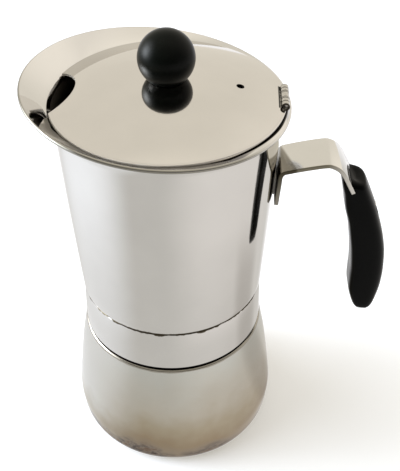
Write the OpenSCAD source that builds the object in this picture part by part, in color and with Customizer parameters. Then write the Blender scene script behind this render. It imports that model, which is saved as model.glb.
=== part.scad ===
// Stovetop moka pot, millimetres. +Z is up, the handle is at +X and the pouring lip at -X.
// The origin is on the pot's axis, at the level of the surface it stands on.

/* [Boiler] */
// Radius at the widest ring of the boiler
boiler_r = 50; // [46:0.5:54]
// Height of the widest ring above the floor
belly_z = 14; // [11:0.5:18]
// Radius of the flat bottom
foot_r = 45; // [41:0.5:47]
// Radius at the boiler's shoulder, just under the gap
shoulder_r = 43; // [42:0.1:44]
// Height of the boiler's shoulder
boiler_h = 64.4; // [60:0.2:70]
// Wall of the pressed steel boiler
boiler_wall = 1.2; // [0.8:0.1:2]

/* [Thread] */
// Outside radius of the boiler's thread ring
thread_r = 38.4; // [37.5:0.1:39]
// Radial wall of the thread ring
thread_wall = 3.6; // [3:0.1:4.5]
// Height of the thread ring above the shoulder
thread_h = 15.6; // [13:0.2:18]
// Radial space between the two threaded parts
thread_gap = 0.6; // [0.4:0.1:1]
// Open gap between boiler and upper pot when screwed down
seam_gap = 1.3; // [0.8:0.1:2]

/* [Collar] */
// Radius at the foot of the collar
collar_r = 42.6; // [42:0.1:43.5]
// Radius at the top of the collar
collar_top_r = 41.8; // [41:0.1:42.4]
// Height of the collar, up to the groove under the vessel
collar_h = 22.3; // [20.3:0.1:28]
// Depth of that groove
groove_depth = 1; // [0.5:0.1:1.4]

/* [Vessel] */
// Radius at the foot of the vessel
vessel_r = 42.1; // [41.6:0.1:43]
// Radius at the top of the vessel, under its neck
mouth_r = 46.4; // [45:0.1:48]
// Height of the vessel's upper edge
vessel_h = 180.8; // [165:0.2:200]
// Height of the flared neck under that edge
neck_h = 4.5; // [3:0.5:8]
// Flare of that neck
neck_out = 1.4; // [1.2:0.1:2]
// Wall of the vessel
vessel_wall = 1; // [0.8:0.1:1.5]

/* [Pouring lip] */
// Height of the crease above the vessel's edge
crease_rise = 1.4; // [1:0.1:2.5]
// Reach of the round rim beyond the vessel's mouth
rim_reach = 7.6; // [7:0.1:10]
// Shift of the rim towards the spout
rim_shift = 4.2; // [3:0.1:4.6]
// Rise of the rim above the crease, at the sides
rim_rise = 3.6; // [2.5:0.1:5]
// Slope of the rim up towards the spout
rim_slope = 0.1; // [0.06:0.01:0.13]
// Radius of the bead rolled along the rim
bead_r = 0.8; // [0.6:0.1:1.1]

/* [Lid] */
// Overhang of the lid over the vessel's mouth
lid_over = 1.4; // [1.2:0.1:2]
// Rise of the dome over its edge
lid_rise = 8.1; // [6:0.1:13]
// Sheet thickness of the lid
lid_wall = 0.9; // [0.7:0.1:1.4]
// Depth of the edge that is turned down
lid_edge_h = 1; // [0.8:0.1:1.6]
// Gap under the closed lid's edge
lid_gap = 0.3; // [0.2:0.05:0.6]
// Radius of the steam vent
vent_r = 1.6; // [1:0.1:2.2]
// Distance of the steam vent from the axis
vent_x = 29; // [24:0.1:34]
// Depth of the scallop that opens the spout, in from the lid's edge
scallop_in = 10.9; // [6:0.1:12]
// Radius of that scallop
scallop_r = 18.6; // [15:0.1:22]

/* [Hinge] */
// Radius of the hinge barrel
barrel_r = 1.7; // [1.5:0.05:2.2]
// Radius of the hinge pin
pin_r = 0.95; // [0.7:0.05:1.1]
// Running clearance around the pin
pin_gap = 0.06; // [0.03:0.01:0.1]
// Length of the whole barrel
barrel_len = 15; // [12:0.5:20]
// Length of the middle knuckle
middle_len = 3.2; // [2:0.1:5]
// Gap between two knuckles
knuckle_gap = 0.3; // [0.2:0.05:0.5]
// Space between the barrel and the lid's cut-out for it
barrel_recess = 0.4; // [0.3:0.05:0.8]
// Distance of the hinge axis in from the lid's edge
hinge_in = 0.9; // [0.7:0.05:1.2]

/* [Knob] */
// Radius of the ball
ball_r = 11.4; // [9:0.1:14]
// Height of the ball's centre above its flat foot, as a share of its radius
ball_seat = 0.77; // [0.5:0.01:0.85]
// Radius of the knob's screw
knob_screw_r = 2; // [1.5:0.1:2.5]

/* [Handle] */
// Width of the steel strap
strap_w = 20; // [16:0.5:24]
// Thickness of the steel strap
strap_t = 1.8; // [1.4:0.1:2.4]
// Thickness of the welded pad behind the strap
pad_t = 0.5; // [0.4:0.1:1.5]
// Width of that pad
pad_w = 10; // [6:0.5:12]
// Height of the strap's bend at the vessel
strap_bend_z = 155.6; // [148:0.2:160]
// Height of the strap's straight leg, below that bend
leg_h = 11.2; // [6:0.2:20]
// Rise of the strap's arch over the bend
arch_rise = 3.3; // [1.5:0.1:5]
// Distance of the arch's crest from the axis
arch_x = 65.4; // [62:0.2:70]
// Width of the grip
grip_w = 16.8; // [13:0.2:19]
// Reach of the grip, out from the arch's crest
grip_reach = 33.4; // [29:0.1:38]
// Length of the grip, from its top to its lower end
grip_len = 77.3; // [70:0.1:95]
// Width of the strap's tongue inside the grip
tongue_w = 10; // [6:0.5:12]
// Clearance of the strap in the grip's slot
slot_gap = 0.15; // [0.1:0.05:0.4]

/* [Safety valve] */
// Height of the valve's axis
valve_z = 44; // [36:0.5:50]
// Across flats of the valve's hexagon
valve_hex = 14; // [11:0.5:16]
// Radius of the valve's shank
shank_r = 4; // [3:0.1:5]
// Radius of the relief pin's stem
stem_r = 1.1; // [0.8:0.05:1.4]
// Travel of the relief pin
valve_travel = 1.2; // [0.8:0.1:1.6]

/* [Brewing parts] */
// Depth of the coffee basket
basket_h = 14; // [11:0.5:20]
// Wall of the basket and its stem
basket_wall = 0.8; // [0.6:0.1:1.2]
// Space under the stem's lower end
stem_clear = 8; // [5:0.5:12]
// Outside radius of the stem
funnel_stem_r = 5; // [4:0.1:6]
// Rise of the vessel's floor towards the coffee column
floor_rise = 11; // [7:0.5:16]
// Thickness of the rubber gasket
gasket_t = 3.4; // [2.5:0.1:4.5]
// Inside radius of the rubber gasket
gasket_in_r = 28.4; // [26:0.2:31]
// Thickness of the perforated plates
plate_t = 0.6; // [0.4:0.1:1]
// Radius of each hole in the perforated plates
hole_r = 0.7; // [0.4:0.05:0.9]
// Rings of holes in the upper filter plate
filter_rings = 5; // [3:1:6]
// Rings of holes in the basket's plate
basket_rings = 4; // [3:1:6]
// Outside radius of the coffee column at its foot
column_r = 6.4; // [5.5:0.1:8]
// Outside radius of the coffee column at its top
column_top_r = 5; // [4:0.1:5.4]
// Height of the coffee column's top
column_h = 158; // [130:1:165]
// Radius of the column's bore
column_bore = 3.4; // [2.5:0.1:3.6]

/* [Hidden] */
$fn = 96;
fit = 0.05;
seat_gap = 0.3;

// ---- sizes that follow from those above ----
boiler_floor_z = boiler_wall + 0.4;
thread_top_z = boiler_h + thread_h;
collar_z = boiler_h + seam_gap;
groove_z = collar_z + collar_h;
thread_in_r = thread_r - thread_wall;
collar_in_r = thread_r + thread_gap;
basket_rim_t = 0.8;
basket_rim_z = thread_top_z;
gasket_z = basket_rim_z + basket_rim_t + seat_gap;
gasket_top_z = gasket_z + gasket_t;
floor_z = gasket_top_z + seat_gap;
floor_t = 1.2;
floor_dome_z = floor_z + floor_rise;
crease_z = vessel_h + crease_rise;
lid_low_z = crease_z + lid_gap;
lid_edge_z = lid_low_z + lid_edge_h;
lid_top_z = lid_edge_z + lid_rise;
lid_r = mouth_r + lid_over;
rim_r = mouth_r + rim_reach;
rim_z = crease_z + rim_rise;
hinge_x = lid_r - hinge_in;
hinge_z = crease_z + 0.35 + barrel_r;
leaf_t = barrel_r - pin_r - pin_gap;
scallop_x = lid_r - scallop_in;
basket_r = thread_in_r - 0.5;
basket_floor_z = basket_rim_z - basket_h;

// ---- curves ----
// One point of a Catmull-Rom curve between b and c.
function curve_point(a, b, c, d, t) =
    0.5 * (2 * b + (c - a) * t + (2 * a - 5 * b + 4 * c - d) * t * t + (3 * b - a - 3 * c + d) * t * t * t);
// A smooth curve through all points, with steps points for each stretch.
function curve(points, steps) = let (last = len(points) - 1) [
    for (i = [0 : last - 1], k = [0 : steps - 1])
        curve_point(points[max(i - 1, 0)], points[i], points[i + 1], points[min(i + 2, last)], k / steps),
    points[last]];
function arc(centre, radius, from, to, steps) = [
    for (k = [0 : steps]) let (a = from + (to - from) * k / steps)
        centre + radius * [cos(a), sin(a)]];
function unit(v) = v / norm(v);
// The direction across a polyline at its point i.
function across(points, i) = let (
        d = unit(points[min(i + 1, len(points) - 1)] - points[max(i - 1, 0)])) [-d[1], d[0]];
// A strip of even thickness, laid to the left of a polyline.
function strip(points, near, far) = concat(
    [for (i = [0 : len(points) - 1]) points[i] + near * across(points, i)],
    [for (i = [len(points) - 1 : -1 : 0]) points[i] + far * across(points, i)]);
function reversed(points) = [for (i = [len(points) - 1 : -1 : 0]) points[i]];

// A closed skin over rings that all have the same number of points.
module skin(rings) {
    count = len(rings[0]);
    last = len(rings) - 1;
    polyhedron(
        points = [for (ring = rings, point = ring) point],
        faces = concat(
            [[for (j = [0 : count - 1]) j]],
            [for (i = [0 : last - 1], j = [0 : count - 1]) let (k = (j + 1) % count)
                [i * count + j, (i + 1) * count + j, (i + 1) * count + k]],
            [for (i = [0 : last - 1], j = [0 : count - 1]) let (k = (j + 1) % count)
                [i * count + j, (i + 1) * count + k, i * count + k]],
            [[for (j = [count - 1 : -1 : 0]) last * count + j]]));
}

// Rings of round holes through a plate that lies at height z.
module hole_rings(rings, step, radius, z, depth) {
    translate([0, 0, z]) cylinder(h = depth, r = radius, $fn = 24);
    for (ring = [1 : rings], k = [0 : 6 * ring - 1])
        rotate([0, 0, 60 * k / ring])
            translate([ring * step, 0, z]) cylinder(h = depth, r = radius, $fn = 24);
}

module tube(low, high, outer, inner) {
    difference() {
        translate([0, 0, low]) cylinder(h = high - low, r = outer);
        translate([0, 0, low - 1]) cylinder(h = high - low + 2, r = inner);
    }
}

// ---- boiler ----
foot_round = boiler_r - foot_r;
shoulder_round = 1.2;
boiler_side = curve([
    [boiler_r - 0.5, belly_z * 0.57],
    [boiler_r, belly_z],
    [boiler_r - 0.45, belly_z + 6],
    [boiler_r - (boiler_r - shoulder_r) * 0.28, belly_z + (boiler_h - belly_z) * 0.37],
    [boiler_r - (boiler_r - shoulder_r) * 0.62, belly_z + (boiler_h - belly_z) * 0.7],
    [shoulder_r, boiler_h - shoulder_round]], 4);
function boiler_radius(z) = lookup(z, [for (p = boiler_side) [p[1], p[0]]]);
boiler_outline = concat(
    [[0, 0], [foot_r - 3, 0]],
    [for (k = [1 : 5]) let (a = 18 * k - 90)
        [foot_r - 3 + (foot_round + 2.5) * cos(a), belly_z * 0.57 * (1 + sin(a))]],
    [for (i = [1 : len(boiler_side) - 1]) boiler_side[i]],
    arc([shoulder_r - shoulder_round, boiler_h - shoulder_round], shoulder_round, 30, 90, 2));
boiler_inside = concat(
    [[0, boiler_floor_z], [foot_r - 3, boiler_floor_z]],
    [for (k = [1 : 5]) let (a = 18 * k - 90)
        [foot_r - 3 + (foot_round + 2.5 - boiler_wall) * cos(a),
            boiler_floor_z + (belly_z * 0.57 - boiler_floor_z) * (1 + sin(a))]],
    [for (i = [1 : len(boiler_side) - 1]) boiler_side[i] - [boiler_wall, 0]],
    [[shoulder_r - shoulder_round - 0.6, boiler_h - boiler_wall]]);
neck_r = thread_r - 0.8;

// ---- safety valve, laid along +Y ----
seat_r = valve_hex / 2 + 1.5;
seat_t = 4;
seat_y = boiler_radius(valve_z) + 0.8;
washer_t = 0.8;
hex_y = seat_y + washer_t;
hex_t = 4.2;
chamber_r = stem_r + 1.9;
barrel_y = hex_y + hex_t;
chamber_y = hex_y + 1.6;
cap_y = barrel_y + 5;
cap_t = 1.2;
valve_barrel_r = valve_hex / 2 - 2;
head_t = 1.6;
nut_t = 3;
nut_y = seat_y - seat_t - nut_t;

module along_y(y) {
    translate([0, y, valve_z]) rotate([-90, 0, 0]) children();
}

module boiler_shell() {
    color("silver") difference() {
        rotate_extrude() polygon(concat(boiler_outline, [[0, boiler_h]]));
        rotate_extrude() polygon(concat(boiler_inside, [[0, boiler_h - boiler_wall]]));
        translate([0, 0, boiler_h - 5]) cylinder(h = 6, r = neck_r);
        along_y(seat_y - 3 * seat_t) cylinder(h = 6 * seat_t, r = seat_r);
    }
}

module valve_seat() {
    color("silver") along_y(seat_y - seat_t) difference() {
        cylinder(h = seat_t, r = seat_r);
        translate([0, 0, -1]) cylinder(h = seat_t + 2, r = shank_r + fit);
    }
}

module thread_ring() {
    spigot_h = 4;
    color("gainsboro") difference() {
        union() {
            translate([0, 0, boiler_h]) cylinder(h = thread_h - 0.8, r = thread_r);
            translate([0, 0, thread_top_z - 0.8]) cylinder(h = 0.8, r1 = thread_r, r2 = thread_r - 0.8);
            translate([0, 0, boiler_h - spigot_h]) cylinder(h = spigot_h, r = neck_r - fit);
        }
        translate([0, 0, boiler_h - spigot_h - 1]) cylinder(h = thread_h + spigot_h + 2, r = thread_in_r);
    }
}

module valve_body() {
    color("goldenrod") difference() {
        union() {
            along_y(hex_y) cylinder(h = hex_t, r = valve_hex / 2 / cos(30), $fn = 6);
            along_y(barrel_y) cylinder(h = cap_y - barrel_y, r = valve_barrel_r);
            along_y(nut_y - 1.2) cylinder(h = hex_y - nut_y + 1.2, r = shank_r);
        }
        along_y(nut_y - 2) cylinder(h = cap_y - nut_y + 4, r = stem_r + 0.4);
        along_y(chamber_y) cylinder(h = cap_y - chamber_y + 1, r = chamber_r + 0.2);
    }
}

module valve_washer() {
    color("sienna") along_y(seat_y) difference() {
        cylinder(h = washer_t, r = shank_r + 2.4);
        translate([0, 0, -1]) cylinder(h = washer_t + 2, r = shank_r + fit);
    }
}

module valve_nut() {
    color("goldenrod") along_y(nut_y) difference() {
        cylinder(h = nut_t, r = valve_hex / 2 / cos(30) - 1, $fn = 6);
        translate([0, 0, -1]) cylinder(h = nut_t + 2, r = shank_r + fit);
    }
}

module valve_pin() {
    color("darkgoldenrod") union() {
        along_y(chamber_y + fit) cylinder(h = head_t, r = chamber_r);
        along_y(chamber_y + fit) cylinder(h = cap_y + cap_t + 2.4 - chamber_y, r = stem_r);
    }
}

module valve_cap() {
    color("goldenrod") along_y(cap_y) difference() {
        cylinder(h = cap_t, r = valve_barrel_r);
        translate([0, 0, -1]) cylinder(h = cap_t + 2, r = stem_r + fit);
    }
}

module valve_spring() {
    wire_r = 0.3;
    coil_r = (stem_r + chamber_r + 0.2) / 2;
    turns = 4;
    steps = 14;
    sides = 6;
    from = head_t + chamber_y + fit + wire_r + 0.05;
    rise = cap_y - wire_r - 0.05 - from;
    color("lightgray") along_y(from)
        skin([for (i = [0 : turns * steps]) let (a = 360 * i / steps, h = rise * i / turns / steps)
            [for (j = [0 : sides - 1]) let (b = 360 * j / sides)
                [(coil_r + wire_r * cos(b)) * cos(a), (coil_r + wire_r * cos(b)) * sin(a),
                    h - wire_r * sin(b)]]]);
}

// ---- coffee basket and its stem ----
module basket() {
    hub_r = funnel_stem_r + 4;
    cone_z = basket_floor_z - 7;
    color("silver") rotate_extrude() polygon([
        [basket_r, basket_floor_z + 1],
        [basket_r, basket_rim_z],
        [thread_r - 1.2, basket_rim_z],
        [thread_r - 1.2, basket_rim_z + basket_rim_t],
        [basket_r - basket_wall, basket_rim_z + basket_rim_t],
        [basket_r - basket_wall, basket_floor_z],
        [basket_r - basket_wall - 2.4, basket_floor_z],
        [funnel_stem_r, cone_z + 1.2],
        [funnel_stem_r, cone_z],
        [hub_r, cone_z + 0.6],
        [basket_r - 2, basket_floor_z - 1.2]]);
}

module basket_plate() {
    plate_r = basket_r - basket_wall - 0.2;
    color("lightgray") difference() {
        translate([0, 0, basket_floor_z + fit]) cylinder(h = plate_t, r = plate_r);
        hole_rings(basket_rings, (plate_r - 4) / basket_rings, hole_r, basket_floor_z - 1, 3);
    }
}

module funnel_stem() {
    color("silver") tube(boiler_floor_z + stem_clear, basket_floor_z - 5.8,
        funnel_stem_r - fit, funnel_stem_r - fit - basket_wall);
}

module gasket() {
    color("ivory") tube(gasket_z, gasket_top_z, collar_in_r - seat_gap, gasket_in_r);
}

// ---- upper pot ----
module collar() {
    color("silver") rotate_extrude() polygon(concat(
        [[collar_in_r, collar_z], [collar_r - 0.8, collar_z]],
        arc([collar_r - 0.8, collar_z + 0.8], 0.8, -60, 0, 3),
        [[collar_top_r, groove_z - groove_depth],
            [collar_top_r - 0.35, groove_z - groove_depth * 0.35],
            [collar_top_r - groove_depth, groove_z],
            [collar_in_r, groove_z]]));
}

module vessel_floor() {
    cone_r = gasket_in_r - 2;
    turn_w = 5;
    turn_z = floor_z + 0.82 * floor_rise;
    color("gainsboro") rotate_extrude() polygon([
        [collar_in_r - fit, floor_z],
        [collar_in_r - fit, floor_z + floor_t],
        [cone_r, floor_z + floor_t],
        [column_r + turn_w, turn_z + floor_t],
        [column_r + fit, floor_dome_z + floor_t],
        [column_r + fit, floor_dome_z],
        [column_r + turn_w, turn_z],
        [cone_r, floor_z]]);
}

module filter_plate() {
    filter_r = gasket_in_r - 0.25;
    low = gasket_z + gasket_t * 0.35;
    color("lightgray") difference() {
        union() {
            translate([0, 0, low]) cylinder(h = plate_t, r = filter_r);
            tube(low, low + 1.5, filter_r, filter_r - plate_t);
        }
        hole_rings(filter_rings, (filter_r - 3) / filter_rings, hole_r, low - 1, 3);
    }
}

module coffee_column() {
    step_z = floor_dome_z + floor_t + 2;
    color("silver") difference() {
        union() {
            translate([0, 0, floor_dome_z - 1]) cylinder(h = step_z - floor_dome_z + 1, r = column_r);
            translate([0, 0, step_z]) cylinder(h = column_h - step_z, r1 = column_r, r2 = column_top_r);
        }
        translate([0, 0, floor_dome_z - 2]) cylinder(h = column_h - floor_dome_z + 4, r = column_bore);
    }
}

module column_cap() {
    window_h = 5;
    cap_r = column_top_r + 0.9;
    cap_low_z = column_h - 4;
    color("silver") difference() {
        union() {
            translate([0, 0, cap_low_z]) cylinder(h = 11, r = cap_r);
            translate([0, 0, cap_low_z + 11]) cylinder(h = 1.4, r1 = cap_r, r2 = cap_r - 1.6);
        }
        translate([0, 0, cap_low_z - 1]) cylinder(h = 11, r = column_top_r + 0.1);
        for (a = [0, 180])
            rotate([0, 0, a + 90])
                translate([0, -2.2, column_h + 1]) cube([cap_r + 2, 4.4, window_h]);
    }
}

// The vessel's wall flares out a little faster below its middle than above it.
flare_h = 0.9;
neck_z = vessel_h - neck_h;
vessel_side = concat(
    curve([
        [vessel_r, groove_z + flare_h],
        [(vessel_r + mouth_r) / 2 + 0.25, (groove_z + flare_h + neck_z) / 2],
        [mouth_r, neck_z]], 4),
    [for (t = [0.25 : 0.25 : 1]) [mouth_r + neck_out * pow(t, 1.6), neck_z + neck_h * t]]);
function vessel_radius(z) = lookup(z, [for (p = vessel_side) [p[1], p[0]]]);

module vessel_shell() {
    foot_in_z = groove_z + flare_h + 1;
    color("silver") rotate_extrude() polygon(concat(
        [[collar_in_r, groove_z],
            [vessel_r - groove_depth, groove_z],
            [vessel_r - 0.3, groove_z + flare_h * 0.45]],
        vessel_side,
        [for (p = reversed(vessel_side)) if (p[1] > foot_in_z) p - [vessel_wall, 0]],
        [[vessel_r - vessel_wall, foot_in_z],
            [collar_in_r, groove_z + vessel_wall + 0.2]]));
}

// ---- pouring lip: a flared collar whose rim is off centre and tilted towards the spout ----
lip_sides = 96;
lip_steps = 7;
lip_least = 1;
lip_bend = 1.4;
function rim_radius(a) = -rim_shift * cos(a) + sqrt(rim_r * rim_r - pow(rim_shift * sin(a), 2));
function rim_height(a) = rim_z - rim_slope * rim_radius(a) * cos(a);
function lip_profile(a) = let (
        start_r = lid_r + seat_gap,
        end_r = max(rim_radius(a) - bead_r, start_r + lip_least),
        end_z = rim_height(a) - bead_r,
        top = [for (k = [0 : lip_steps]) let (t = k / lip_steps)
            [start_r + (end_r - start_r) * t, crease_z + (end_z + bead_r - crease_z) * pow(t, lip_bend)]],
        bead = arc([end_r, end_z], bead_r, 45, -135, 4),
        foot = [mouth_r + neck_out, vessel_h],
        heel = bead[4] - foot,
        under = [for (k = [lip_steps - 1 : -1 : 1]) let (t = k / lip_steps)
            foot + [heel[0] * t, heel[1] * pow(t, lip_bend)]])
    concat([foot - [vessel_wall, 0]], top, bead, under, [foot]);

module pouring_lip() {
    rings = [for (i = [0 : lip_sides - 1]) let (a = 360 * i / lip_sides)
        [for (p = lip_profile(a)) [p[0] * cos(a), p[0] * sin(a), p[1]]]];
    count = len(rings[0]);
    color("silver") polyhedron(
        points = [for (ring = rings, point = ring) point],
        faces = [for (i = [0 : lip_sides - 1], j = [0 : count - 1], half = [0, 1])
            let (n = ((i + 1) % lip_sides) * count, m = i * count, k = (j + 1) % count)
                half == 0 ? [m + j, n + j, n + k] : [m + j, n + k, m + k]]);
}

// ---- hinge: two sheets rolled round a pin, the middle knuckle on the vessel and two on the lid ----
knuckle_start = middle_len / 2 + knuckle_gap;
barrel_half = barrel_len / 2;
leaf_z = hinge_z - barrel_r;
leaf_x = mouth_r - vessel_wall - 0.15;
notch_x = hinge_x - barrel_r - barrel_recess;
roll_slit = 0.2;
leaf_drop = 9;
tab_len = 8;

module along_hinge(from) {
    translate([hinge_x, from, hinge_z]) rotate([-90, 0, 0]) children();
}

// A sheet that comes in at the level of the leaf and is rolled round the bore, open by a slit.
module knuckle(from, to, bore) {
    length = to - from;
    difference() {
        union() {
            along_hinge(from) cylinder(h = length, r = barrel_r, $fn = 48);
            translate([hinge_x - barrel_r - barrel_recess, from, leaf_z])
                cube([barrel_r + barrel_recess, length, leaf_t]);
        }
        along_hinge(from - 1) cylinder(h = length + 2, r = bore, $fn = 48);
        translate([hinge_x - 2 * barrel_r, from - 1, leaf_z + leaf_t])
            cube([2 * barrel_r, length + 2, roll_slit]);
    }
}

// The leaf of the middle knuckle runs inward over the crease and down inside the vessel's wall.
module hinge_leaf() {
    half = middle_len / 2;
    color("darkgray") union() {
        knuckle(-half, half, pin_r);
        translate([leaf_x - leaf_t, -half, leaf_z]) cube([notch_x - leaf_x + leaf_t + 0.1, middle_len, leaf_t]);
        translate([leaf_x - leaf_t, -half, leaf_z - leaf_drop])
            cube([leaf_t, middle_len, leaf_drop + leaf_t]);
    }
}

module hinge_pin() {
    inset = 0.8;
    color("gray") along_hinge(inset - barrel_half)
        cylinder(h = barrel_len - 2 * inset, r = pin_r, $fn = 48);
}

// The lid's two knuckles grow out of one leaf that is welded to the dome's underside.
module lid_knuckles() {
    color("darkgray") difference() {
        union() {
            for (side = [0, 1])
                mirror([0, side, 0]) {
                    knuckle(knuckle_start, barrel_half, pin_r + pin_gap);
                    translate([notch_x - 1, knuckle_start, leaf_z])
                        cube([1.1, barrel_half - knuckle_start, leaf_t]);
                }
            intersection() {
                difference() {
                    dome_solid(lid_wall);
                    dome_solid(lid_wall + leaf_t);
                }
                translate([notch_x - tab_len, -barrel_half, leaf_z])
                    cube([tab_len, barrel_len, tab_len]);
            }
        }
        translate([leaf_x - leaf_t - knuckle_gap, -knuckle_start, leaf_z - 1])
            cube([2 * tab_len, 2 * knuckle_start, 2 * tab_len]);
    }
}

// ---- lid ----
dome_r = (lid_r * lid_r + lid_rise * lid_rise) / (2 * lid_rise);
module dome_solid(drop) {
    intersection() {
        translate([0, 0, lid_top_z - dome_r]) sphere(r = dome_r - drop);
        translate([0, 0, lid_low_z]) cylinder(h = lid_rise + lid_edge_h + 1, r = lid_r - drop);
    }
}

module spout_cut() {
    translate([-scallop_x - scallop_r, 0, lid_low_z - 1]) cylinder(h = lid_rise + 4, r = scallop_r);
}

module lid() {
    half = barrel_len / 2 + barrel_recess;
    color("gainsboro") difference() {
        dome_solid(0);
        dome_solid(lid_wall);
        spout_cut();
        translate([hinge_x - barrel_r - barrel_recess, -half, lid_low_z - 1]) cube([20, 2 * half, 20]);
        translate([vent_x, 0, lid_low_z]) cylinder(h = lid_rise + 9, r = vent_r);
        translate([0, 0, lid_top_z - 5]) cylinder(h = 9, r = knob_screw_r + 0.3);
    }
}

// ---- knob ----
ball_z = lid_top_z + ball_r * ball_seat;
insert_r = knob_screw_r + 1.2;
insert_h = ball_r * 0.9;
head_r = knob_screw_r + 2;
knob_washer_t = 0.8;

module knob() {
    color("black") difference() {
        translate([0, 0, ball_z]) sphere(r = ball_r);
        translate([0, 0, lid_top_z - 2 * ball_r]) cylinder(h = 2 * ball_r, r = 2 * ball_r);
        translate([0, 0, lid_top_z - 1]) cylinder(h = insert_h + 1, r = insert_r + fit);
    }
}

module knob_insert() {
    color("goldenrod") difference() {
        translate([0, 0, lid_top_z + 0.1]) cylinder(h = insert_h - 0.2, r = insert_r);
        translate([0, 0, lid_top_z - 1]) cylinder(h = insert_h, r = knob_screw_r + fit);
    }
}

module knob_washer() {
    seat_drop = lid_wall + 0.15;
    color("lightgray") difference() {
        translate([0, 0, lid_top_z - seat_drop - knob_washer_t])
            cylinder(h = knob_washer_t, r = head_r + 1.4);
        translate([0, 0, lid_top_z - seat_drop - 3]) cylinder(h = 6, r = knob_screw_r + 0.2);
    }
}

module knob_screw() {
    head_z = lid_top_z - lid_wall - 0.2 - knob_washer_t;
    head_h = 1.8;
    color("lightgray") difference() {
        union() {
            translate([0, 0, head_z - head_h]) cylinder(h = head_h, r1 = head_r - 1, r2 = head_r);
            translate([0, 0, head_z - 0.1]) cylinder(h = insert_h * 0.8, r = knob_screw_r);
        }
        for (a = [0, 90])
            rotate([0, 0, a]) translate([-2, -0.4, head_z - head_h - 1]) cube([4, 0.8, 1.9]);
    }
}

// ---- handle: a strap bent down against the vessel, over an arch and into the grip ----
bend_h = 7;
leg_top_z = strap_bend_z - bend_h;
strap_low_z = leg_top_z - leg_h;
leg_low_x = vessel_radius(strap_low_z) + pad_t;
leg_top_x = vessel_radius(leg_top_z) + pad_t + 0.2;
crest_z = strap_bend_z + arch_rise;
hook_reach = 0.587 * grip_reach;
hook_drop = 0.453 * grip_len;
// Each pair gives a share of the hook's reach and of its drop, from the arch's crest.
strap_hook = [[0.137, 0.014], [0.3, 0.08], [0.437, 0.174], [0.558, 0.283], [0.7, 0.417],
    [0.816, 0.571], [0.926, 0.771], [1, 1]];
// The strap's inner face, from its lower end on the vessel to the tongue's end in the grip.
strap_line = curve(concat(
    [[leg_low_x, strap_low_z],
        [(leg_low_x + leg_top_x) / 2, (strap_low_z + leg_top_z) / 2],
        [leg_top_x, leg_top_z],
        [leg_top_x + 0.07 * bend_h, strap_bend_z - 0.54 * bend_h],
        [leg_top_x + 0.31 * bend_h, strap_bend_z - 0.2 * bend_h],
        [leg_top_x + 0.77 * bend_h, strap_bend_z],
        [(leg_top_x + 0.77 * bend_h + arch_x) / 2, crest_z - arch_rise * 0.42],
        [arch_x, crest_z]],
    [for (p = strap_hook) [arch_x + p[0] * hook_reach, crest_z - p[1] * hook_drop]]), 4);
// The full width of the strap ends at this height, and only its tongue goes on into the grip.
tongue_z = crest_z - 0.414 * hook_drop;
tongue_x = arch_x + 0.42 * hook_reach;

module side_plate(outline, width) {
    translate([0, width / 2, 0]) rotate([90, 0, 0]) linear_extrude(width) polygon(outline);
}

module strap_shape(extra) {
    wide = [for (p = strap_line) if (p[0] < arch_x || p[1] > tongue_z) p];
    side_plate(reversed(strip(wide, extra, -strap_t - extra)), strap_w + 2 * extra);
    side_plate(reversed(strip([for (p = strap_line) if (p[0] > tongue_x) p], extra, -strap_t - extra)),
        tongue_w + 2 * extra);
}

screw_x = arch_x + 0.587 * grip_reach;
screw_z = crest_z - 0.83 * hook_drop;
screw_r = 1.6;
screw_len = 6;
screw_head_r = 3;
screw_head_t = 1.8;
screw_start_x = screw_x - 2.6;
screw_head_x = screw_start_x + screw_len;

module along_x(x) {
    translate([x, 0, screw_z]) rotate([0, 90, 0]) children();
}

module handle_strap() {
    color("silver") difference() {
        strap_shape(0);
        along_x(screw_x - 8) cylinder(h = 20, r = screw_r, $fn = 48);
    }
}

// The pad's back is hollowed to the round of the vessel.
module strap_pad() {
    low = strap_low_z + 2;
    high = leg_top_z - 1;
    face = pad_t - 0.02;
    color("gray") difference() {
        side_plate([
            [leg_low_x - 2 * pad_t, low],
            [vessel_radius(low) + face, low],
            [vessel_radius(high) + face, high],
            [leg_low_x - 2 * pad_t, high]], pad_w);
        rotate_extrude($fn = 360) polygon(concat([[0, groove_z]], vessel_side, [[0, vessel_h]]));
    }
}

// ---- grip: rounded sections along two side curves, slotted for the strap ----
// Each pair gives a share of the grip's reach and a share of its length.
grip_top_z = crest_z - 0.124 * grip_len;
grip_inner = [[0.311, 1], [0.263, 0.995], [0.243, 0.975], [0.251, 0.942], [0.284, 0.886],
    [0.329, 0.787], [0.395, 0.688], [0.443, 0.59], [0.491, 0.473], [0.527, 0.343], [0.536, 0.246],
    [0.551, 0.159], [0.614, 0.071], [0.665, 0.03], [0.707, 0.008], [0.757, 0.001]];
grip_outer = [[0.428, 0.97], [0.539, 0.964], [0.575, 0.944], [0.608, 0.915], [0.662, 0.863],
    [0.751, 0.771], [0.829, 0.677], [0.898, 0.583], [0.961, 0.467], [0.994, 0.338], [1, 0.241],
    [0.985, 0.15], [0.943, 0.054], [0.901, 0.019], [0.856, 0.005], [0.814, 0]];
grip_half = [0.45, 0.8, 0.95, 1, 1, 1, 1, 1, 1, 1, 1, 0.99, 0.96, 0.87, 0.66, 0.3];

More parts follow.
